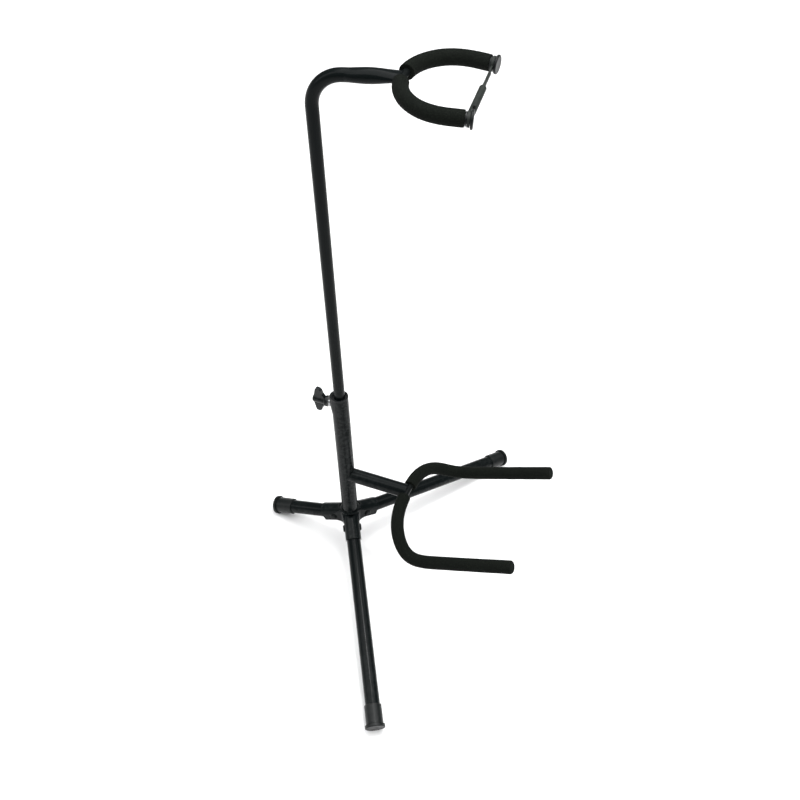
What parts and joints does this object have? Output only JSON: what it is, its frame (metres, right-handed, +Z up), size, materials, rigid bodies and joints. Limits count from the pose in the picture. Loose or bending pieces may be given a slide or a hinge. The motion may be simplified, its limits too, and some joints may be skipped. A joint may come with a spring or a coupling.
{
  "type": "guitar stand",
  "caption": "Folding tubular guitar stand with tripod base, telescopic mast, foam-covered body cradle and neck yoke with a rubber strap.",
  "frame": {"origin": "centre of the bounding box's footprint, at floor level", "axes": "+Z up, -Y towards the cradle and neck yoke, +X to the right seen from the short rear leg"},
  "size_m": [0.5794, 0.4076, 0.8561],
  "materials": {
    "black_paint": "satin black powder coat on steel tube",
    "black_plastic": "moulded black plastic",
    "black_foam": "matte closed-cell foam",
    "black_rubber": "soft black rubber",
    "zinc_steel": "zinc-plated",
    "pale_nylon": "natural nylon"
  },
  "bodies": {
    "stand": {"outer_tube": "black_paint", "tube_plug": "black_plastic", "hub": "black_paint", "pivot_rivets": "black_paint", "mast_collar": "black_plastic", "clamp_insert": "zinc_steel", "cradle_bar": "black_paint", "cradle_rod": "black_paint", "cradle_foam_left": "black_foam", "cradle_foam_right": "black_foam"},
    "leg_rear": {"leg_rear": "black_paint", "foot_rear": "black_rubber"},
    "leg_left": {"leg_left": "black_paint", "foot_left": "black_rubber"},
    "leg_right": {"leg_right": "black_paint", "foot_right": "black_rubber"},
    "guide": {"mast_guide": "black_plastic"},
    "mast": {"mast_tube": "black_paint", "neck_yoke": "black_paint", "neck_foam_left": "black_foam", "neck_foam_right": "black_foam", "neck_spool_left": "black_plastic", "neck_spool_right": "black_plastic", "neck_strap": "black_rubber"},
    "clamp_pad": {"pressure_pad": "pale_nylon"},
    "knob": {"knob_stud": "zinc_steel", "wing_knob": "black_plastic"}
  },
  "joints": [
    {"name": "leg_rear_fold", "type": "hinge", "parent": "stand", "child": "leg_rear", "pos_m": [0, 0.09209, 0.0626], "axis": [-1, 0, 0], "range_deg": [0, 74.5]},
    {"name": "leg_left_fold", "type": "hinge", "parent": "stand", "child": "leg_left", "pos_m": [-0.02128, 0.05582, 0.06916], "axis": [0.5, -0.8522, 0.1541], "range_deg": [0, 74.5]},
    {"name": "leg_right_fold", "type": "hinge", "parent": "stand", "child": "leg_right", "pos_m": [0.02128, 0.05582, 0.06916], "axis": [0.5, 0.8522, -0.1541], "range_deg": [0, 74.5]},
    {"name": "mast_height", "type": "slide", "parent": "stand", "child": "guide", "axis": [0, 0.1779, 0.984], "range_m": [-0.145, 0.065]},
    {"name": "mast_swivel", "type": "hinge", "parent": "guide", "child": "mast", "pos_m": [0, 0.09723, 0.22916], "axis": [0, 0.1779, 0.984], "continuous": true},
    {"name": "clamp_travel", "type": "slide", "parent": "stand", "child": "clamp_pad", "axis": [0, 0.984, -0.1779], "range_m": [0, 0.002]},
    {"name": "knob_turn", "type": "hinge", "parent": "clamp_pad", "child": "knob", "pos_m": [0, 0.14193, 0.30776], "axis": [0, 0.984, -0.1779], "range_deg": [0, 720]}
  ],
  "couplings": [
    {"joint": "knob_turn", "follows": "clamp_travel", "rad_per_m": 6283.2}
  ]
}
